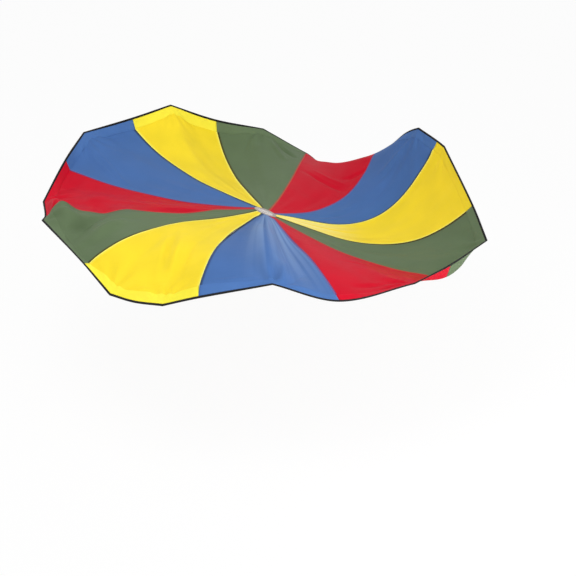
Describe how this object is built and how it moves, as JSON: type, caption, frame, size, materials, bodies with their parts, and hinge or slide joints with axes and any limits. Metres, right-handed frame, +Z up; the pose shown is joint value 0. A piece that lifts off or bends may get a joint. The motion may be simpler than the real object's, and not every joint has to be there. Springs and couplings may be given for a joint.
{
  "type": "play parachute",
  "caption": "Round play canopy of coloured nylon gores round a mesh vent, with a roped black edge, shown held up all round and sagging.",
  "frame": {"origin": "centre of the ring of hands that holds the rim, straight above the middle of the vent", "axes": "+Z up; +Y away from the front hand, across the canopy; +X to the right as seen from the front hand"},
  "size_m": [3.2316, 3.4696, 0.5911],
  "materials": {
    "yellow_nylon": "thin plain-woven nylon, slight sheen",
    "green_nylon": "thin plain-woven nylon, slight sheen",
    "red_nylon": "thin plain-woven nylon, slight sheen",
    "blue_nylon": "thin plain-woven nylon, slight sheen",
    "edge_tape": "black woven binding tape, matt",
    "hem_rope": "undyed twisted cord",
    "vent_tape": "pale grey woven tape, matt",
    "vent_net": "pale grey knitted net"
  },
  "bodies": {
    "root": {"gore_01_yellow": "yellow_nylon", "gore_02_green": "green_nylon", "gore_03_red": "red_nylon", "gore_04_blue": "blue_nylon", "gore_05_yellow": "yellow_nylon", "gore_06_green": "green_nylon", "gore_07_red": "red_nylon", "gore_08_blue": "blue_nylon", "gore_09_yellow": "yellow_nylon", "gore_10_green": "green_nylon", "gore_11_red": "red_nylon", "gore_12_blue": "blue_nylon", "seam_01_blue_yellow": "yellow_nylon", "seam_02_yellow_green": "yellow_nylon", "seam_03_green_red": "red_nylon", "seam_04_red_blue": "blue_nylon", "seam_05_blue_yellow": "yellow_nylon", "seam_06_yellow_green": "yellow_nylon", "seam_07_green_red": "red_nylon", "seam_08_red_blue": "blue_nylon", "seam_09_blue_yellow": "yellow_nylon", "seam_10_yellow_green": "yellow_nylon", "seam_11_green_red": "red_nylon", "seam_12_red_blue": "blue_nylon", "hem_01_yellow": "yellow_nylon", "hem_02_green": "green_nylon", "hem_03_red": "red_nylon", "hem_04_blue": "blue_nylon", "hem_05_yellow": "yellow_nylon", "hem_06_green": "green_nylon", "hem_07_red": "red_nylon", "hem_08_blue": "blue_nylon", "hem_09_yellow": "yellow_nylon", "hem_10_green": "green_nylon", "hem_11_red": "red_nylon", "hem_12_blue": "blue_nylon", "edge_tape": "edge_tape", "hem_rope": "hem_rope", "vent_tape_upper": "vent_tape", "vent_tape_under": "vent_tape", "vent_net": "vent_net"}
  },
  "joints": []
}
